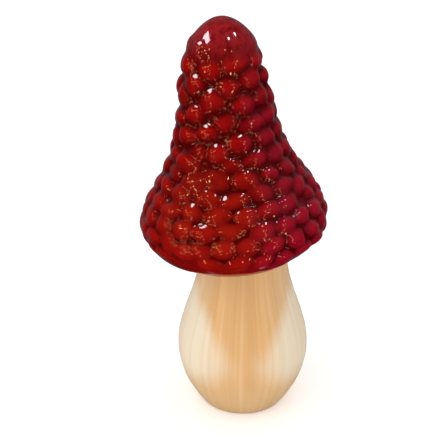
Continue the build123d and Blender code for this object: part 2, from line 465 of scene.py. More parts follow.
stem_outline += [(DRAIN_R, FOOT_RECESS + EDGE_ROUND), (DRAIN_R, floor_z)]
stem_outline += evenly(stem_wall(STEM_WALL, floor_z, count=40), INSIDE_STEP).tolist()
stem_outline += [(NECK_R - STEM_WALL, inside_top), (SPIGOT_R - STEM_WALL, inside_top)]
stem_outline += [(SPIGOT_R - STEM_WALL, spigot_top - STEM_WALL), (0, spigot_top - STEM_WALL)]
print("points on the stem's outline:", len(stem_outline))

# %% Turn the stem and add the marks of the wheel and the brush
STEM_SEGMENTS = 256
STEM_SEED = 11
RIDGE_HEIGHT, RIDGES_ROUND, RIDGE_BEND = 0.1, (23, 37, 58, 71), 0.02
WHEEL_RING_HEIGHT, RING_LENGTHS, RING_TILT = 0.12, (9.0, 16.0, 37.0), 0.6
PLAIN_END, MARK_FADE = 3, 6  # mm of plain wall at both ends, and of fading marks after it
ON_WALL = 0.3


def wheel_and_brush(thing):
    """Moves the outside of the wall by faint level rings and faint upright ridges."""
    random = np.random.default_rng(STEM_SEED)
    places = places_of(thing)
    radius = np.hypot(places[:, 0], places[:, 1])
    angle = np.arctan2(places[:, 1], places[:, 0])
    height = places[:, 2] / MM
    ridges = np.zeros(len(places))
    for waves in RIDGES_ROUND:
        phase = random.uniform(0, 2 * math.pi)
        bend = random.uniform(-RIDGE_BEND, RIDGE_BEND)
        ridges += np.sin(waves * angle + phase + bend * height) / len(RIDGES_ROUND)
    rings = np.zeros(len(places))
    for length in RING_LENGTHS:
        phase = random.uniform(0, 2 * math.pi)
        turns = 2 * math.pi * height / length
        rings += np.sin(turns + phase + RING_TILT * np.sin(angle)) / len(RING_LENGTHS)
    wall = np.interp(height, *np.array(sorted((z, r) for r, z in outside)).T) * MM
    from_foot, from_seat = height - PLAIN_END, SEAT_Z - PLAIN_END - height
    outer = (np.abs(radius - wall) < ON_WALL * MM) & (from_foot > 0) & (from_seat > 0)
    fade = np.clip(from_foot / MARK_FADE, 0, 1) * np.clip(from_seat / MARK_FADE, 0, 1)
    marks = RIDGE_HEIGHT * (1 + ridges) + WHEEL_RING_HEIGHT * (1 + rings)
    shift = -fade * marks * MM * outer
    places[:, :2] *= (1 + shift / np.maximum(radius, MM))[:, None]
    move_to(thing, places)
    return int(outer.sum())


stem = turn_outline("glazed_stem", stem_outline, STEM_SEGMENTS)
print(f"stem: {len(stem.data.polygons)} faces, {signed_volume(stem):.0f} cubic cm of clay")
print("vertices on the stem's outside:", wheel_and_brush(stem))

# %% [markdown]
# ## Bare clay and the glaze's own surface
#
# Two effects are used on more than one piece, so each is a shader group that is built once. Bare fired
# clay shows on the foot, on the stem's shoulder and inside the cap: it is matt, with fine grog specks.
# Glaze is a glass that froze while it ran, so its gloss is a little uneven and its surface has shallow
# waves a few millimetres long.

# %% Build the two shared groups
CLAY_TONES = [(0.3, (0.50, 0.36, 0.24)), (0.7, (0.62, 0.48, 0.34))]
GROG_TONES = [(0.34, (0.45, 0.35, 0.28)), (0.46, (1, 1, 1))]
LEAST_DULL = 0.5  # the share of the dullness that is there everywhere

clay_grain, given, wanted = new_group(
    "Clay grain",
    [("Place", "NodeSocketVector", None), ("Speck Scale", "NodeSocketFloat", 900.0)],
    [("Colour", "NodeSocketColor"), ("Height", "NodeSocketFloat")],
)
cloud = noise(clay_grain, given["Place"], scale=60.0, detail=3.0)
speck = noise(clay_grain, given["Place"], given["Speck Scale"], roughness=0.7)
body, dots = ramp(clay_grain, cloud, CLAY_TONES), ramp(clay_grain, speck, GROG_TONES)
clay_grain.links.new(mix_colour(clay_grain, 1.0, body, dots, "MULTIPLY"), wanted["Colour"])
clay_grain.links.new(speck, wanted["Height"])

glaze_wave, given, wanted = new_group(
    "Glaze wave",
    [
        ("Place", "NodeSocketVector", None),
        ("Wave Scale", "NodeSocketFloat", 180.0),
        ("Dullness", "NodeSocketFloat", 0.1),
    ],
    [("Roughness", "NodeSocketFloat"), ("Height", "NodeSocketFloat")],
)
wave = noise(glaze_wave, given["Place"], given["Wave Scale"], detail=1.0)
dull = maths(glaze_wave, "MULTIPLY", noise(glaze_wave, given["Place"], scale=45.0), given["Dullness"])
least = maths(glaze_wave, "MULTIPLY", given["Dullness"], LEAST_DULL)
glaze_wave.links.new(maths(glaze_wave, "ADD", dull, least), wanted["Roughness"])
glaze_wave.links.new(wave, wanted["Height"])
print("shader groups:", [group.name for group in bpy.data.node_groups])

# %% [markdown]
# ## Cream glaze of the stem
#
# On the real stem, tan glaze has run down from the neck and ends in a point on the front, between two pale
# cream lobes. The lobes are partly the glaze's own cream and partly a painted reflection of pale
# surroundings, and the left and right sides are paled the same way by a painted reflection. Low down it is
# tan again. Fine brush streaks run from top to bottom. The colour follows two measures of a point: its
# height, and how far round the side it lies. Streaks are plain noise that is drawn out along the height.
# The noise is read at a fixed radius, so the streaks follow the wall in and out.

# %% Measure the stem's glaze
STREAK_R, STREAK_SQUEEZE = 0.035, (1, 1, 0.014)
LOBE_TOP_Z, LOBE_TOP_RISE, LOBE_TOP_BEND, LOBE_TOP_EDGE = 44.0, 43.0, 1.4, 10.0
LOBE_FOOT_Z, LOBE_FOOT_RISE, LOBE_FOOT_EDGE = 37.0, -16.0, 12.0
LOBE_SIDE = (-0.1, 0.75)  # the lobe grows from the front to the sides
RAGGED = 20.0

cream_glaze, tree, shader, place = new_material("cream_glaze")
axes = axes_of(tree, place)
height = maths(tree, "DIVIDE", axes["Z"], MM)
across = maths(tree, "POWER", axes["X"], 2.0)
radius = maths(tree, "SQRT", maths(tree, "ADD", across, maths(tree, "POWER", axes["Y"], 2.0)))
sideways = maths(tree, "DIVIDE", maths(tree, "ABSOLUTE", axes["X"]), radius)
along_wall = scaled(tree, place, maths(tree, "DIVIDE", STREAK_R, radius))
drawn_out = add_node(tree, "ShaderNodeMapping", {"Vector": along_wall, "Scale": STREAK_SQUEEZE}).outputs[0]
streak = noise(tree, drawn_out, scale=330.0, detail=3.0, roughness=0.6)
broad_streak = noise(tree, drawn_out, scale=110.0)
ragged = maths(tree, "MULTIPLY", maths(tree, "SUBTRACT", broad_streak, 0.5), RAGGED)
bent = maths(tree, "POWER", sideways, LOBE_TOP_BEND)
lobe_top = maths(tree, "ADD", maths(tree, "MULTIPLY_ADD", bent, LOBE_TOP_RISE, LOBE_TOP_Z), ragged)
lobe_foot = maths(tree, "MULTIPLY_ADD", sideways, LOBE_FOOT_RISE, LOBE_FOOT_Z)
over_top, over_foot = (maths(tree, "SUBTRACT", height, edge) for edge in (lobe_top, lobe_foot))
under_top = spread(tree, over_top, LOBE_TOP_EDGE, -LOBE_TOP_EDGE)
over_foot = spread(tree, over_foot, -LOBE_FOOT_EDGE, LOBE_FOOT_EDGE)
between = maths(tree, "MULTIPLY", under_top, over_foot)
# The pale lobes are partly the glaze's own cream and partly a painted reflection.
lobe = maths(tree, "MULTIPLY", between, spread(tree, sideways, *LOBE_SIDE))
print("measures of the stem's glaze:", len(tree.nodes), "nodes")

# %% Mix the cream glaze
TAN, DEEP_TAN, LOW_TAN = (0.74, 0.42, 0.17), (0.68, 0.37, 0.14), (0.70, 0.445, 0.215)
PALE_CREAM = (0.80, 0.675, 0.495)
DEEP_TAN_FADE, LOW_TAN_FADE = (0.35, 0.7), (34.0, 12.0)  # the second is a height in mm
STREAK_TONES, STREAK_DARK = [(0.3, (0.92, 0.89, 0.84)), (0.5, (1, 1, 1))], 0.9
STREAK_PALE, PALE_FADE = 0.22, (0.52, 0.72)
# the left and right sides are paled towards cream by a painted reflection of pale surroundings
PAINTED_SIDE_REFLECTION, SIDE_REFLECTION_FADE = 0.3, (0.45, 0.95)
GLAZE_TOP_Z, GLAZE_FOOT_Z = 118.6, 1.4
TOP_EDGE, FOOT_EDGE = 0.3, 0.4
DRY_CLAY = 0.85
BRUSH_SHARE, WAVE_SHARE = 0.35, 0.5

run = mix_colour(tree, spread(tree, broad_streak, *DEEP_TAN_FADE), TAN, DEEP_TAN)
run = mix_colour(tree, spread(tree, height, *LOW_TAN_FADE), run, LOW_TAN)
# Painted reflection: the stem turns paler towards its left and right sides.
painted_side_reflection = maths(tree, "MULTIPLY", spread(tree, sideways, *SIDE_REFLECTION_FADE), PAINTED_SIDE_REFLECTION)
# The pale lobes and the painted reflection on the sides are mixed in here.
glaze = mix_colour(tree, maths(tree, "MAXIMUM", lobe, painted_side_reflection), run, PALE_CREAM)
glaze = mix_colour(tree, STREAK_DARK, glaze, ramp(tree, streak, STREAK_TONES), "MULTIPLY")
pale_streak = maths(tree, "MULTIPLY", spread(tree, streak, *PALE_FADE), STREAK_PALE)
glaze = mix_colour(tree, pale_streak, glaze, PALE_CREAM)
clay = use_group(tree, clay_grain, Place=place)
wave = use_group(tree, glaze_wave, Place=place, Wave_Scale=90.0, Dullness=0.42)
bare_top = spread(tree, height, GLAZE_TOP_Z - TOP_EDGE, GLAZE_TOP_Z)
bare_foot = spread(tree, height, GLAZE_FOOT_Z, GLAZE_FOOT_Z - FOOT_EDGE)
unglazed = maths(tree, "MAXIMUM", bare_top, bare_foot)
tree.links.new(mix_colour(tree, unglazed, glaze, clay["Colour"]), shader.inputs["Base Color"])
dry = maths(tree, "MULTIPLY", unglazed, DRY_CLAY)
tree.links.new(maths(tree, "MAXIMUM", wave["Roughness"], dry), shader.inputs["Roughness"])
brushed = maths(tree, "MULTIPLY", streak, BRUSH_SHARE)
relief = maths(tree, "MULTIPLY_ADD", wave["Height"], WAVE_SHARE, brushed)
add_bump(tree, shader, relief, strength=0.3, distance=0.4 * MM)
stem.data.materials.append(cream_glaze)
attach(stem, "stem")
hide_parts("stem_bulb", "stem_neck")
print("cream glaze:", len(tree.nodes), "nodes")

# %% [markdown]
# ## Cap, before the pellets
#
# The cap is a hollow cone with a smooth button on top and a rolled coil under its rim. It is turned
# upright first, from the tip down the outside, round the coil and up the inside, and leaned at the end.
# A hand-made cone isn't quite round: this one is a little fuller on the left of its upper half. A
# number on each vertex says where the clay is bare, so that one material can finish both sides.

# %% Draw the cap's outline
CONE_RIM_R, SHOULDER_R, SHOULDER_Z = 47.0, 54.2, 15.0
FLANK, WAIST, CROWN = (40.6, 45.0), (26.0, 84.0), (18.7, 121.5)
RIM_LEAN = math.radians(38)
CONE_WALL, CROWN_ROOM = 4.5, 4.0
TIP_H = 18.9
BUTTON_SKIN = [(15.2, 131.8), (20.0, 123.6)]  # the button under its low swellings
BUTTON_DOWN = 9.5  # the button's skin runs on this far below the crown
BUTTON_FOOT_Z = CROWN[1] - BUTTON_DOWN
COIL_R, COIL_FLAT = 4.2, 1.3
COIL_MIDDLE = (CONE_RIM_R - CONE_WALL / 2, COIL_R)
COIL_TOP = COIL_R + COIL_FLAT
COIL_FROM, COIL_TO, COIL_POINTS = math.radians(-90), math.radians(-235), 20
LIP = [(53.9, 12.5), (52.4, 8.0), (48.7, 2.2), (COIL_MIDDLE[0], 0)]  # from the lowest row to the coil
LIP_EASE = 2.0
SKIN_STEP, LINING_STEP = 0.82, 6.0


def cone_wall(inset, count=40):
    """The cone's wall from the rim to the crown, moved in by inset."""
    rise = (math.cos(RIM_LEAN), math.sin(RIM_LEAN))
    low = [(CONE_RIM_R, COIL_TOP), (SHOULDER_R, SHOULDER_Z)]
    high = [(SHOULDER_R, SHOULDER_Z), FLANK, WAIST, CROWN]
    top = (CROWN[0] - WAIST[0], CROWN[1] - WAIST[1])
    line = np.vstack([smooth_line(low, rise, UP, count), smooth_line(high, UP, top, 4 * count)[1:]])
    line[:, 0] -= inset
    return line


def on_coil(angle):
    """A place on the coil's round section."""
    return COIL_MIDDLE[0] + COIL_R * math.cos(angle), COIL_MIDDLE[1] + COIL_R * math.sin(angle)


tip = (0, CROWN[1] + TIP_H)
wall = cone_wall(0)[::-1]
under_button = wall[wall[:, 1] < BUTTON_FOOT_Z]
side = under_button[1] - under_button[0]
button = smooth_line([tip, *BUTTON_SKIN, tuple(under_button[0])], OUT, side, count=100)[:-1]
above_lip = under_button[under_button[:, 1] > LIP[0][1] + LIP_EASE]
lip = smooth_line([tuple(above_lip[-1]), *LIP], DOWN, IN, count=60)[1:]
skin_outline = evenly(np.vstack([button, above_lip, lip]), SKIN_STEP).tolist()
outer_rings = len(skin_outline) - 1
skin_outline += [on_coil(angle) for angle in np.linspace(COIL_FROM, COIL_TO, COIL_POINTS)[1:]]
skin_outline += evenly(cone_wall(CONE_WALL), LINING_STEP)[1:].tolist()
skin_outline += [(CROWN[0] - CONE_WALL, CROWN[1] + CROWN_ROOM), (0, CROWN[1] + CROWN_ROOM)]
print(f"cap's outline: {len(skin_outline)} points, {outer_rings} rings outside")

# %% Turn the cone and swell its left side
SKIN_SEGMENTS = 384
SWELL, SWELL_Z, SWELL_REACH = 2.2, 98.0, 42.0
GLAZED_RINGS = 4  # the glaze goes this many rings round the coil


def swollen(places):
    """Places in mm on the upright cap, moved out where the cone is fuller on the left."""
    radius = np.maximum(np.hypot(places[:, 0], places[:, 1]), 1)
    leftwards = np.clip(-places[:, 0] / radius, 0, 1) ** 2
    level = np.clip(1 - ((places[:, 2] - SWELL_Z) / SWELL_REACH) ** 2, 0, 1) ** 2
    moved = places.copy()
    moved[:, :2] *= (1 + SWELL * leftwards * level / radius)[:, None]
    return moved


cone = turn_outline("glazed_cap", skin_outline, SKIN_SEGMENTS)
move_to(cone, swollen(places_of(cone) / MM) * MM)
bare = np.zeros(len(cone.data.vertices), np.float32)
bare[(outer_rings + GLAZED_RINGS) * SKIN_SEGMENTS : -2] = 1
bare[-1] = 1
cone.data.attributes.new("bare", "FLOAT", "POINT").data.foreach_set("value", bare)
print(f"cone: {len(cone.data.polygons)} faces, {signed_volume(cone):.0f} cubic cm")

# %% [markdown]
# ## Places for the pellets
#
# The pellets lie in twelve rows, from the rim to the crown, and a row of low swellings follows on the
# button. They were pressed on by hand, so no row is straight. Points could be scattered over the cone,
# but that loses the rows. Here each place starts in an even, staggered row. The row is made wavy and
# the place is moved a little at random. Then the places push each other apart in small steps, as soft
# lumps do, which evens out the crowded spots and the gaps.

# %% Lay out the rows
ROWS = 12
PELLET_W, PELLET_GAP = 14.6, 0.4
PITCH = PELLET_W + PELLET_GAP
ROW_AT_RIM, ROW_AT_CROWN = 8.4, 11.2
ROW_GROWTH = (ROW_AT_CROWN - ROW_AT_RIM) / (ROWS - 1)
BUTTON_ROW_UP = 4.0
FRONT = -math.pi / 2
WAVE, WAVES, WAVE_SHIFT = 4.0, 5, 1.9
HAND, SEAT_SEED = 3.5, 11
STRAY = 1.0

line = np.array(skin_outline[: outer_rings + 1])[::-1]
line = line[line[:, 1] > COIL_TOP]
reach = np.concatenate([[0], np.cumsum(np.linalg.norm(np.diff(line, axis=0), axis=1))])
wall_reach = np.interp(CROWN[1], line[:, 1], reach)
steps = wall_reach / ROWS + ROW_GROWTH * (np.arange(ROWS) - (ROWS - 1) / 2)
middles = np.append(np.cumsum(steps) - steps / 2, wall_reach + BUTTON_ROW_UP)
lowest, highest = middles[0] - STRAY, middles[-1] + STRAY

seats = []
for row, middle in enumerate(middles):
    count = round(2 * math.pi * np.interp(middle, reach, line[:, 0]) / PITCH)
    turns = FRONT + 2 * math.pi / count * (np.arange(count) + row % 2 / 2)
    wavy = middle + WAVE * np.sin(WAVES * turns + WAVE_SHIFT * row)
    seats += np.column_stack([wavy, turns]).tolist()
seats = np.array(seats)
seats[:, 0] += np.random.default_rng(SEAT_SEED).uniform(-HAND, HAND, len(seats))
seats[:, 0] = np.clip(seats[:, 0], lowest, highest)
print(f"{len(seats)} pellets in {len(middles)} rows, {steps[0]:.1f} to {steps[-1]:.1f} mm apart")

# %% Push the pellets apart
ROOM, PUSHES, PUSH = 1.1 * PITCH, 24, 0.08
AHEAD = 0.5
SAME_PLACE, NEVER_ZERO = 0.01, 1e-6
EVEN_ROW = PITCH * math.sin(math.pi / 3)  # row height at which round pellets would lie close


def on_cap(seats):
    """The places in mm of seats that are given as (reach up the wall, turn), and their radius."""
    radius = np.interp(seats[:, 0], reach, line[:, 0])
    height = np.interp(seats[:, 0], reach, line[:, 1])
    places = np.column_stack([radius * np.cos(seats[:, 1]), radius * np.sin(seats[:, 1]), height])
    return swollen(places), radius


for push in range(PUSHES):
    places, radius = on_cap(seats)
    ahead = on_cap(seats + [AHEAD, 0])[0] - places
    upward = ahead / np.linalg.norm(ahead, axis=1)[:, None]
    sideways = np.column_stack([-np.sin(seats[:, 1]), np.cos(seats[:, 1]), np.zeros(len(seats))])
    apart = places[None] - places[:, None]
    across = np.einsum("ijk,ik->ij", apart, sideways)
    up = np.einsum("ijk,ik->ij", apart, upward)
    inwards = np.einsum("ijk,ik->ij", apart, np.cross(upward, sideways))
    stretch = EVEN_ROW / np.interp(seats[:, 0], middles[:ROWS], steps)
    far = np.sqrt(across**2 + (up * stretch[:, None]) ** 2 + inwards**2 + NEVER_ZERO)
    shove = np.where((far < ROOM) & (far > SAME_PLACE), PUSH * (ROOM - far) / far, 0)
    seats[:, 1] -= (shove * across).sum(axis=1) / radius
    seats[:, 0] = np.clip(seats[:, 0] - (shove * up).sum(axis=1), lowest, highest)

seat_mesh = bpy.data.meshes.new("pellet_seats")
seat_mesh.from_pydata((on_cap(seats)[0] * MM).tolist(), [], [])
seat_points = bpy.data.objects.new("pellet_seats", seat_mesh)
bpy.context.collection.objects.link(seat_points)
np.fill_diagonal(far, np.inf)
nearest = far.min(axis=1)
print(f"nearest neighbours {nearest.min():.1f} to {nearest.max():.1f} mm away")

# %% [markdown]
# ## Pellets under one coat of glaze
#
# The pellets could be left as separate solids, but on the real cap the glaze has run over them and
# joined them to one skin. This node tree does the same. It sinks a lump of clay into the wall at each
# place, gives each its own size and turn, and bends them a little with noise. Then every vertex of the
# cone looks inwards from outside for a pellet above it and moves out to it. Blurring those heights
# along the mesh is the glaze that rounds each edge.

# %% Name the node tree's inputs
pressed = bpy.data.node_groups.new("Pellets under glaze", "GeometryNodeTree")
tree_inputs = [
    ("Cone", "NodeSocketGeometry", None),
    ("Seats", "NodeSocketObject", seat_points),
    ("Width At Rim", "NodeSocketFloat", 23.0 * MM),
    ("Width At Crown", "NodeSocketFloat", 19.0 * MM),
    ("Height At Rim", "NodeSocketFloat", 15.0 * MM),
    ("Height At Crown", "NodeSocketFloat", 19.5 * MM),
    ("Depth", "NodeSocketFloat", 9.0 * MM),
    ("Proud", "NodeSocketFloat", 3.45 * MM),
    ("Proud At Tip", "NodeSocketFloat", 0.2 * MM),
    ("Most Proud", "NodeSocketFloat", 3.75 * MM),
    ("Tip Height", "NodeSocketFloat", 127.5 * MM),
    ("Cone Height", "NodeSocketFloat", CROWN[1] * MM),
    ("Lip From", "NodeSocketFloat", 3.0 * MM),
    ("Lip To", "NodeSocketFloat", 9.5 * MM),
    ("Lip Thick", "NodeSocketFloat", 2.4 * MM),
    ("Pointed", "NodeSocketFloat", 0.15),
    ("Fullness", "NodeSocketFloat", 1.25),
    ("Dents", "NodeSocketFloat", 1.2 * MM),
    ("Run Off At", "NodeSocketVector", (-20 * MM, -36 * MM, 54 * MM)),
    ("Run Off Reach", "NodeSocketFloat", 30 * MM),
    ("Run Off", "NodeSocketFloat", 0.5),
    ("Run Off Level", "NodeSocketFloat", 2.4 * MM),
    ("Uneven", "NodeSocketFloat", 3.4 * MM),
    ("Glaze Passes", "NodeSocketInt", 3),
    ("Lip Passes", "NodeSocketInt", 14),
    ("Crease Passes", "NodeSocketInt", 6),
    ("Pool Passes", "NodeSocketInt", 70),
    ("Soft To", "NodeSocketFloat", 16.0 * MM),
    ("Bead", "NodeSocketFloat", 1.8 * MM),
    ("Seed", "NodeSocketInt", 4),
    ("Finish", "NodeSocketMaterial", None),
]
sockets = {}
for name, kind, value in tree_inputs:
    sockets[name] = pressed.interface.new_socket(name, in_out="INPUT", socket_type=kind)
pressed.interface.new_socket("Cap", in_out="OUTPUT", socket_type="NodeSocketGeometry")
given = add_node(pressed, "NodeGroupInput").outputs
position = add_node(pressed, "GeometryNodeInputPosition").outputs[0]
normal = add_node(pressed, "GeometryNodeInputNormal").outputs[0]
print("inputs of the node tree:", len(sockets))

# %% [markdown]
# ### Sink a lump at each place
#
# A pellet is a ball of clay that was pressed flat. An icosphere is stretched to the pellet's width,
# height and twice its depth, pinched towards its ends, and sunk until only its crest stands proud. On
# the button the lumps stand hardly proud, so that they show as low swellings.

# %% Turn each lump to its place
BUTTON_EASE = 2 * MM
LEAN_LOW, LEAN_HIGH = (-0.1, -0.1, -0.4), (0.1, 0.1, 0.4)
SMALLEST, LARGEST = (0.86, 0.88, 0.92), (1.14, 1.14, 1.03)


def nearest_surface(mesh, value, place, kind):
    """A value of a mesh at its surface's nearest point to a place."""
    values = {"Mesh": mesh, "Value": value, "Sample Position": place}
    return add_node(pressed, "GeometryNodeSampleNearestSurface", values, data_type=kind).outputs[0]


def set_position(geometry, **values):
    """The geometry with its points moved by an Offset or to a Position."""
    return add_node(pressed, "GeometryNodeSetPosition", {"Geometry": geometry, **values}).outputs[0]


def random_vector(low, high, step):
    """A random vector for each point, between two corners. The step keeps its draws apart from others."""
    seed = maths(pressed, "ADD", given["Seed"], float(step))
    values = {0: low, 1: high, "Seed": seed}
    return add_node(pressed, "FunctionNodeRandomValue", values, data_type="FLOAT_VECTOR").outputs[0]


def graded(value, low, high, at_low, at_high):
    """A size that changes evenly while a value goes from low to high."""
    values = {"Value": value, "From Min": low, "From Max": high}
    values |= {"To Min": given[at_low], "To Max": given[at_high]}
    return add_node(pressed, "ShaderNodeMapRange", values).outputs["Result"]


seats_in = add_node(pressed, "GeometryNodeObjectInfo", {"Object": given["Seats"]}).outputs["Geometry"]
outward = nearest_surface(given["Cone"], normal, position, "FLOAT_VECTOR")
level = axes_of(pressed, position)["Z"]
button_foot = maths(pressed, "SUBTRACT", given["Cone Height"], BUTTON_EASE)
proud = graded(level, button_foot, given["Tip Height"], "Proud", "Proud At Tip")
sunk = scaled(pressed, outward, maths(pressed, "SUBTRACT", proud, given["Depth"]))
sunk_seats = set_position(seats_in, Offset=sunk)
along = vector_maths(pressed, "CROSS_PRODUCT", (0, 0, 1), outward)
align = "FunctionNodeAlignRotationToVector"
upright = add_node(pressed, align, {"Vector": outward}, axis="Z").outputs[0]
values = {"Rotation": upright, "Vector": along}
level_turn = add_node(pressed, align, values, axis="X", pivot_axis="Z").outputs[0]
values = {"Rotation": level_turn, "Rotate By": random_vector(LEAN_LOW, LEAN_HIGH, step=1)}
turned = add_node(pressed, "FunctionNodeRotateRotation", values, rotation_space="LOCAL").outputs[0]
wide = graded(level, 0.0, given["Cone Height"], "Width At Rim", "Width At Crown")
tall = graded(level, 0.0, given["Cone Height"], "Height At Rim", "Height At Crown")
thick = maths(pressed, "MULTIPLY", given["Depth"], 2.0)
full_size = add_node(pressed, "ShaderNodeCombineXYZ", {"X": wide, "Y": tall, "Z": thick}).outputs[0]
size = vector_maths(pressed, "MULTIPLY", full_size, random_vector(SMALLEST, LARGEST, step=2))
print("places and sizes:", len(pressed.nodes), "nodes")

# %% Make the lumps
LUMP_ROUNDS = 4
SWIRL_SCALE = 75.0

values = {"Radius": 0.5, "Subdivisions": LUMP_ROUNDS}
lump = add_node(pressed, "GeometryNodeMeshIcoSphere", values).outputs["Mesh"]
lengthwise = axes_of(pressed, position)["X"]
from_middle = maths(pressed, "POWER", maths(pressed, "MULTIPLY", lengthwise, 2.0), 2.0)
narrow = maths(pressed, "SUBTRACT", 1.0, maths(pressed, "MULTIPLY", from_middle, given["Pointed"]))
pinch = add_node(pressed, "ShaderNodeCombineXYZ", {"X": 1.0, "Y": narrow, "Z": 1.0}).outputs[0]
lump = set_position(lump, Position=vector_maths(pressed, "MULTIPLY", position, pinch))
values = {"Points": sunk_seats, "Instance": lump, "Rotation": turned, "Scale": size}
lumps = add_node(pressed, "GeometryNodeInstanceOnPoints", values).outputs[0]
lumps = add_node(pressed, "GeometryNodeRealizeInstances", {"Geometry": lumps}).outputs[0]
values = {"Vector": position, "Scale": SWIRL_SCALE, "Detail": 1.0}
swirl = add_node(pressed, "ShaderNodeTexNoise", values).outputs["Color"]
swirl = vector_maths(pressed, "SUBTRACT", swirl, (0.5, 0.5, 0.5))
lumps = set_position(lumps, Offset=scaled(pressed, swirl, given["Uneven"]))
print("lumps:", len(pressed.nodes), "nodes")

# %% [markdown]
# ### Find how far the skin stands out
#
# A ray from outside tells each vertex how high a lump stands above it. The height is made a little
# fuller and gets shallow dents, as a fingertip leaves them. On the lower front the glaze has run off
# and levelled the pellets. Down at the lip it covers them, thickest at the front and the back, and on
# the left a bead of glaze hangs over the lip and makes it softer.

# %% Look for the lumps from outside
LOOK_FROM = 12 * MM
DENT_SCALE, DENT_MIDDLE = 190.0, 0.55

start = vector_maths(pressed, "MULTIPLY_ADD", normal, (LOOK_FROM,) * 3, position)
inwards = vector_maths(pressed, "MULTIPLY", normal, (-1, -1, -1))
values = {"Target Geometry": lumps, "Source Position": start, "Ray Direction": inwards}
look = add_node(pressed, "GeometryNodeRaycast", values | {"Ray Length": LOOK_FROM}).outputs
above = maths(pressed, "SUBTRACT", LOOK_FROM, look["Hit Distance"])
above = maths(pressed, "MULTIPLY", above, look["Is Hit"])
share = maths(pressed, "MINIMUM", maths(pressed, "DIVIDE", above, given["Most Proud"]), 1.0)
under = maths(pressed, "POWER", maths(pressed, "SUBTRACT", 1.0, share), given["Fullness"])
full = maths(pressed, "MULTIPLY", maths(pressed, "SUBTRACT", 1.0, under), given["Most Proud"])
dent = maths(pressed, "SUBTRACT", noise(pressed, position, DENT_SCALE, detail=1.0), DENT_MIDDLE)
dent = maths(pressed, "MULTIPLY", maths(pressed, "MULTIPLY", dent, given["Dents"]), share)
full = maths(pressed, "ADD", full, dent)
print("heights:", len(pressed.nodes), "nodes")

# %% Let the glaze run off and gather at the lip
FULL_LIP_Y, THIN_LIP_Y, THIN_LIP = 47 * MM, 34 * MM, 0.2  # how far to the front or the back
LEFT_FROM, LEFT_TO = -12 * MM, -28 * MM

away = vector_maths(pressed, "DISTANCE", position, given["Run Off At"], out="Value")
run_over = maths(pressed, "MULTIPLY", spread(pressed, away, given["Run Off Reach"], 0.0), given["Run Off"])
full = mix_number(pressed, run_over, full, given["Run Off Level"])
own = axes_of(pressed, position)
on_lip = spread(pressed, own["Z"], given["Lip To"], given["Lip From"])
front_or_back = spread(pressed, maths(pressed, "ABSOLUTE", own["Y"]), THIN_LIP_Y, FULL_LIP_Y)
lip_share = maths(pressed, "MULTIPLY_ADD", front_or_back, 1 - THIN_LIP, THIN_LIP)
full = mix_number(pressed, on_lip, full, maths(pressed, "MULTIPLY", given["Lip Thick"], lip_share))
hanging = spread(pressed, own["Z"], given["Soft To"], given["Lip To"])
bead = maths(pressed, "MULTIPLY", hanging, given["Bead"])
to_left = spread(pressed, own["X"], LEFT_FROM, LEFT_TO)
full = maths(pressed, "MAXIMUM", full, maths(pressed, "MULTIPLY", bead, to_left))
print("run-off and lip:", len(pressed.nodes), "nodes")

# %% [markdown]
# ### Smooth the skin and keep its measures
#
# The colour of the glaze needs to know where it lies thick, and where it gets painted shade. Three
# measures are kept on the vertices, in millimetres. The pool says how far a place lies below the level of
# a wide stretch around it, the crease how far below its nearest surroundings, and the underside how much
# further out the skin stands just above it than just below. The underside only sets the painted shade
# under each pellet.

# %% Blur the heights and move the skin out
UNDERSIDE_REACH = 2.4 * MM


def kept(name):
    """A value that is stored on the vertices."""
    kind = "GeometryNodeInputNamedAttribute"
    return add_node(pressed, kind, {"Name": name}, data_type="FLOAT").outputs[0]


def blurred(value, passes):
    """A value on the vertices, evened out along the mesh."""
    values = {"Value": value, "Iterations": given[passes]}
    return add_node(pressed, "GeometryNodeBlurAttribute", values, data_type="FLOAT").outputs[0]


def keep(mesh, name, value):
    """The mesh with a value stored on its vertices under a name."""
    values = {"Geometry": mesh, "Name": name, "Value": value}
    kind = "GeometryNodeStoreNamedAttribute"
    return add_node(pressed, kind, values, data_type="FLOAT", domain="POINT").outputs[0]


above = maths(pressed, "MULTIPLY", full, maths(pressed, "SUBTRACT", 1.0, kept("bare")))
near_lip = spread(pressed, own["Z"], given["Soft To"], given["Lip From"])
softer = maths(pressed, "MULTIPLY", near_lip, to_left)
smoothed = mix_number(pressed, softer, blurred(above, "Glaze Passes"), blurred(above, "Lip Passes"))
cap = keep(given["Cone"], "proud", maths(pressed, "MINIMUM", smoothed, given["Most Proud"]))
stored = kept("proud")
for name, passes in (("pool", "Pool Passes"), ("crease", "Crease Passes")):
    below_level = maths(pressed, "SUBTRACT", blurred(stored, passes), stored)
    cap = keep(cap, name, maths(pressed, "DIVIDE", below_level, MM))
over, below = (
    nearest_surface(cap, stored, vector_maths(pressed, "ADD", position, (0, 0, reach_up)), "FLOAT")
    for reach_up in (UNDERSIDE_REACH, -UNDERSIDE_REACH)
)
# The underside measure is only used for the painted shade under the pellets.
cap = keep(cap, "underside", maths(pressed, "DIVIDE", maths(pressed, "SUBTRACT", over, below), MM))
cap = set_position(cap, Offset=scaled(pressed, normal, stored))
cap = add_node(pressed, "GeometryNodeRealizeInstances", {"Geometry": cap}).outputs[0]
values = {"Geometry": cap, "Material": given["Finish"]}
cap = add_node(pressed, "GeometryNodeSetMaterial", values).outputs[0]
add_node(pressed, "NodeGroupOutput", {"Cap": cap})
print("node tree:", len(pressed.nodes), "nodes")

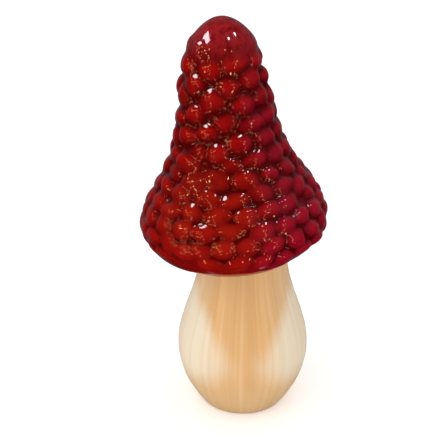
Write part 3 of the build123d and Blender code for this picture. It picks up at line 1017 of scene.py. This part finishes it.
# %% [markdown]
# ## Red glaze
#
# The glaze is a deep clear red. Where it is thin, on the crest of a pellet, the pale clay shines through
# and it looks bright, in places nearly orange. Where it has pooled in a groove it is dark. A colour ramp
# turns the depth of the glaze into a colour, and the depth follows the measures that the node tree kept.
# Painted shade is added to it under each pellet, as if light from above fell less there. The colour is
# lighter low down and darker high up, and a fine crease is dark wherever it lies. Towards the right the
# red turns crimson, partly the glaze's own tone and partly a painted reflection of a pale wall. The tip
# turns paler and pinker, partly thin glaze and partly a painted haze of reflected light. A clear coat over
# it all gives the crisp reflections.

# %% Measure the depth of the red glaze and its painted shade
CREST, POOLED = -0.75, 0.95  # mm below the level of the glaze around
MOTTLED = 0.4
# how wide and how dark the painted shade under the pellets is
UNDERSIDE_SPAN, UNDERSIDE_SHADE_DARK, UNDERSIDE_SHADE_EASE = 1.6, 0.46, 0.21
HIGH_Z, LOW_Z = 0.175, 0.135
LIGHTER_LOW, DARKER_HIGH = 0.42, 0.11
CREASE_FROM, CREASE_TO, CREASE_DARK = 0.1, 0.34, 0.6


def measure(tree, name):
    """A number that the node tree kept on the skin."""
    return add_node(tree, "ShaderNodeAttribute", attribute_name=name).outputs["Fac"]


red_glaze, tree, shader, place = new_material("red_glaze")
axes = axes_of(tree, place)
mottle = noise(tree, place, scale=260.0, detail=4.0)
glaze_depth_and_shade = spread(tree, measure(tree, "pool"), CREST, POOLED, smooth=False)
glaze_depth_and_shade = maths(tree, "ADD", glaze_depth_and_shade, maths(tree, "MULTIPLY_ADD", mottle, MOTTLED, -MOTTLED / 2))
# Painted shade: a pellet is darker where the skin just above stands further out, on its underside, as if
# light from above fell less there.
painted_underside_shade = spread(tree, measure(tree, "underside"), -UNDERSIDE_SPAN, UNDERSIDE_SPAN, smooth=False)
glaze_depth_and_shade = maths(tree, "ADD", glaze_depth_and_shade, maths(tree, "MULTIPLY_ADD", painted_underside_shade, UNDERSIDE_SHADE_DARK, -UNDERSIDE_SHADE_EASE))
# The glaze is made lighter low down and darker high up.
low_down = spread(tree, axes["Z"], HIGH_Z, LOW_Z)
glaze_depth_and_shade = maths(tree, "MULTIPLY", glaze_depth_and_shade, maths(tree, "MULTIPLY_ADD", low_down, -LIGHTER_LOW, 1.0))
glaze_depth_and_shade = maths(tree, "ADD", glaze_depth_and_shade, maths(tree, "MULTIPLY_ADD", low_down, -DARKER_HIGH, DARKER_HIGH))
crease = spread(tree, measure(tree, "crease"), CREASE_FROM, CREASE_TO)
glaze_depth_and_shade = maths(tree, "MULTIPLY_ADD", crease, CREASE_DARK, glaze_depth_and_shade)
print("depth of the red glaze:", len(tree.nodes), "nodes")

# %% Colour the red glaze
DEPTHS = (0.0, 0.35, 0.6, 0.8, 1.0)
DEEP_RED = [
    (0.275, 0.0015, 0.001),
    (0.168, 0.001, 0.001),
    (0.132, 0.0006, 0.001),
    (0.102, 0.0004, 0.0008),
    (0.068, 0.0003, 0.0005),
]
ORANGE_RED = [
    (0.295, 0.007, 0.002),
    (0.2, 0.0037, 0.0015),
    (0.19, 0.003, 0.001),
    (0.13, 0.0015, 0.001),
    (0.075, 0.0006, 0.0006),
]
# Crimson tones, partly the glaze's own and partly a painted reflection of a pale wall on the right.
CRIMSON_AND_HAZE = [
    (0.28, 0.002, 0.012),
    (0.175, 0.0015, 0.008),
    (0.14, 0.001, 0.005),
    (0.1, 0.0006, 0.003),
    (0.068, 0.0004, 0.0018),
]
# paler pink tip: partly thin glaze, partly a painted haze of reflected light
THIN_AND_HAZY_TIP = (0.29, 0.011, 0.015)
THIN_AT, THIN_TO, THIN_FROM = (-0.022, -0.047, 0.146), 0.05, 0.01  # lower front, a little left
HAZE_FROM_X, HAZE_TO_X, HAZE_STRAY = -0.005, 0.025, 0.06
TIP_FROM_Z, TIP_TO_Z = 0.222, 0.246
RUN_PATCHES, TIP_PATCHES = (0.2, 0.6), (0.25, 0.65)

deep, thin, crimson_and_haze = (
    ramp(tree, glaze_depth_and_shade, list(zip(DEPTHS, colours))) for colours in (DEEP_RED, ORANGE_RED, CRIMSON_AND_HAZE)
)
runs = noise(tree, place, scale=26.0)
stray = maths(tree, "MULTIPLY_ADD", runs, HAZE_STRAY, -HAZE_STRAY / 2)
# Painted reflection: towards the right the red turns crimson, partly the glaze's own tone.
crimson_haze_share = spread(tree, maths(tree, "ADD", axes["X"], stray), HAZE_FROM_X, HAZE_TO_X)
glaze = mix_colour(tree, crimson_haze_share, deep, crimson_and_haze)
distance = vector_maths(tree, "DISTANCE", place, THIN_AT, out="Value")
run_off = spread(tree, distance, THIN_TO, THIN_FROM)
run_off = maths(tree, "MULTIPLY", run_off, spread(tree, runs, *RUN_PATCHES))
glaze = mix_colour(tree, run_off, glaze, thin)
# Painted reflection: towards the top the tip turns paler and pinker, partly thin glaze and partly a
# painted haze.
tip_thin_and_haze = spread(tree, axes["Z"], TIP_FROM_Z, TIP_TO_Z)
tip_thin_and_haze = maths(tree, "MULTIPLY", tip_thin_and_haze, spread(tree, mottle, *TIP_PATCHES))
glaze = mix_colour(tree, tip_thin_and_haze, glaze, THIN_AND_HAZY_TIP)
print("colours of the red glaze:", len(tree.nodes), "nodes")

# %% Finish the red glaze
CALM_TIP, CALM_FROM_Z, CALM_TO_Z = 0.2, 0.243, 0.228  # the tip's glaze has fainter ripples
FINE_SHARE = 0.5

inside_share = measure(tree, "bare")
clay = use_group(tree, clay_grain, Place=place)
wave = use_group(tree, glaze_wave, Place=place, Wave_Scale=430.0, Dullness=0.14)
tree.links.new(mix_colour(tree, inside_share, glaze, clay["Colour"]), shader.inputs["Base Color"])
dry = maths(tree, "MULTIPLY", inside_share, DRY_CLAY)
tree.links.new(maths(tree, "MAXIMUM", wave["Roughness"], dry), shader.inputs["Roughness"])
tree.links.new(maths(tree, "SUBTRACT", 1.0, inside_share), shader.inputs["Coat Weight"])
shader.inputs["Coat Roughness"].default_value = 0.03
shader.inputs["Specular IOR Level"].default_value = 0.1
fine = noise(tree, place, scale=900.0, detail=1.0)
ripple = maths(tree, "MULTIPLY_ADD", fine, FINE_SHARE, wave["Height"])
below_tip = spread(tree, axes["Z"], CALM_FROM_Z, CALM_TO_Z)
ripple = maths(tree, "MULTIPLY", ripple, maths(tree, "MULTIPLY_ADD", below_tip, 1 - CALM_TIP, CALM_TIP))
add_bump(tree, shader, ripple, strength=0.3, distance=0.4 * MM)
print("red glaze:", len(tree.nodes), "nodes")

# %% [markdown]
# ## Press the pellets on and lean the cap
#
# The tree runs once on the cone, and the result becomes the cone's plain mesh. The modifier could stay
# on the object, but a plain mesh can be measured and moved. Then the finished cap is moved to its place
# on the stem and leaned to the left, as the real one sits.

# %% Run the node tree and lean the cap
CAP_SHIFT, RIM_Z, CAP_LEAN = 4.8, 110.0, math.radians(3.9)
PELLET_FROM = 0.5 * MM

modifier = cone.modifiers.new("pellets", "NODES")
modifier.node_group = pressed
for name, kind, value in tree_inputs:
    if value is not None:
        modifier[sockets[name].identifier] = value
modifier[sockets["Finish"].identifier] = red_glaze
bpy.context.view_layer.update()
depsgraph = bpy.context.evaluated_depsgraph_get()
pressed_mesh = bpy.data.meshes.new_from_object(
    cone.evaluated_get(depsgraph), preserve_all_data_layers=True, depsgraph=depsgraph
)
cone.modifiers.clear()
cone.data = pressed_mesh
cone.data.name = "glazed_cap"
bpy.data.objects.remove(seat_points)
lean_over = Matrix.Translation((-CAP_SHIFT * MM, 0, RIM_Z * MM)) @ Matrix.Rotation(-CAP_LEAN, 4, "Y")
cone.data.transform(lean_over)
cone.data.update()
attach(cone, "cap")
pellet_rows = [f"pellet_row_{row + 1:02d}" for row in range(ROWS)]
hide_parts("cap_cone", "cap_tip_button", "cap_rim_coil", *pellet_rows)

found = {}
for name in ("proud", "pool", "crease"):
    found[name] = np.empty(len(cone.data.vertices), np.float32)
    cone.data.attributes[name].data.foreach_get("value", found[name])
pellet = found["proud"] > PELLET_FROM
print(f"pellets stand {found['proud'].max() / MM:.2f} mm proud, {2 * len(cone.data.polygons)} triangles")
for name in ("pool", "crease"):
    print(f"{name} in mm, 5, 50 and 95 percent:", np.percentile(found[name][pellet], [5, 50, 95]).round(2))

# %% [markdown]
# ## Felt ring
#
# A ring of pressed felt lies on the stem's shoulder, so that the two glazed pieces don't grind on each
# other. It is cut from flat felt: its edges are soft and its faces a little uneven. A flat ring could
# be an extruded circle, but this one is turned from a rounded section, like the stem, and then
# roughened.

# %% Cut the felt ring
FELT_T, FELT_INSET, SPIGOT_PLAY = 2.0, 1.5, 0.8
FELT_ROUND, FELT_STEP, FELT_SEGMENTS = 0.5, 0.6, 220
FELT_SEED, FELT_UNEVEN = 5, 0.14
felt_in, felt_out = SPIGOT_R + SPIGOT_PLAY, NECK_R - FELT_INSET
felt_low, felt_high = SEAT_Z, SEAT_Z + FELT_T


def turn_ring(name, section, segments):
    """A closed mesh turned from a closed section of (radius, height) points in mm, given anticlockwise."""
    angles = np.arange(segments) * 2 * math.pi / segments
    grid = [(r * math.cos(a), r * math.sin(a), z) for a in angles for r, z in section]
    n = len(section)
    faces = []
    for s in range(segments):
        here, there = s * n, (s + 1) % segments * n
        faces += [(here + i, there + i, there + (i + 1) % n, here + (i + 1) % n) for i in range(n)]
    return smooth_object(name, grid, faces)


flat_in, flat_out = felt_in + 2 * FELT_ROUND, felt_out - 2 * FELT_ROUND
section = rounded((felt_in, felt_low), DOWN, OUT, FELT_ROUND)
section += evenly([(flat_in, felt_low), (flat_out, felt_low)], FELT_STEP).tolist()
section += rounded((felt_out, felt_low), OUT, UP, FELT_ROUND)
section += rounded((felt_out, felt_high), UP, IN, FELT_ROUND)
section += evenly([(flat_out, felt_high), (flat_in, felt_high)], FELT_STEP).tolist()
section += rounded((felt_in, felt_high), IN, DOWN, FELT_ROUND)
felt_ring = turn_ring("felt_ring", section, FELT_SEGMENTS)
random = np.random.default_rng(FELT_SEED)
places = places_of(felt_ring)
pull = (felt_low + felt_high) / 2 * MM - places[:, 2]
places[:, 2] += pull * random.uniform(0, FELT_UNEVEN, len(places))
move_to(felt_ring, places)
print(f"felt ring: {signed_volume(felt_ring):.2f} cubic cm")

# %% Dye the felt
FELT_TONES = [(0.3, (0.10, 0.09, 0.075)), (0.5, (0.19, 0.17, 0.14)), (0.7, (0.30, 0.275, 0.235))]
FIBRE_SHARE, TUFT_SHARE = 0.6, 0.4

felt, tree, shader, place = new_material("grey_felt")
fibre = noise(tree, place, scale=1500.0, detail=4.0, roughness=0.7)
tuft = noise(tree, place, scale=260.0)
blend = maths(tree, "MULTIPLY_ADD", fibre, FIBRE_SHARE, maths(tree, "MULTIPLY", tuft, TUFT_SHARE))
tree.links.new(ramp(tree, blend, FELT_TONES), shader.inputs["Base Color"])
tree.links.new(spread(tree, blend, 0.0, 1.0), shader.inputs["Roughness"])
shader.inputs["Sheen Weight"].default_value = 0.4
shader.inputs["Specular IOR Level"].default_value = 0.15
add_bump(tree, shader, blend, strength=0.6, distance=0.5 * MM)
felt_ring.data.materials.append(felt)
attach(felt_ring, "seat_ring")
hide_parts("felt_seat_ring")

# %% [markdown]
# ## Floor and collar inside the cap
#
# These two are plain clay slabs that only show from below or with the cap off. Their solids already
# have the right shape, so they stay, and get the bare clay as their material.

# %% Finish the floor and the collar
DULL_FROM, DULL_TO = -0.6, 1.6  # a wide span, so the grain changes the roughness only a little

bare_clay, tree, shader, place = new_material("bare_clay")
clay = use_group(tree, clay_grain, Place=place, Speck_Scale=700.0)
tree.links.new(clay["Colour"], shader.inputs["Base Color"])
dull = spread(tree, clay["Height"], DULL_FROM, DULL_TO, smooth=False)
tree.links.new(dull, shader.inputs["Roughness"])
add_bump(tree, shader, clay["Height"], strength=0.5, distance=0.4 * MM)
for name in ("cap_floor", "cap_socket_collar"):
    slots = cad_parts[name].material_slots
    for slot in slots:
        slot.material = bare_clay
    print(name, "has", len(slots), "material slots")

# %% [markdown]
# ## View
#
# The picture's colours are shown plainly, with the Standard view transform. The dressed ornament has to
# stay inside the solids' box.

# %% Set the view transform
bpy.context.scene.view_settings.view_transform = "Standard"
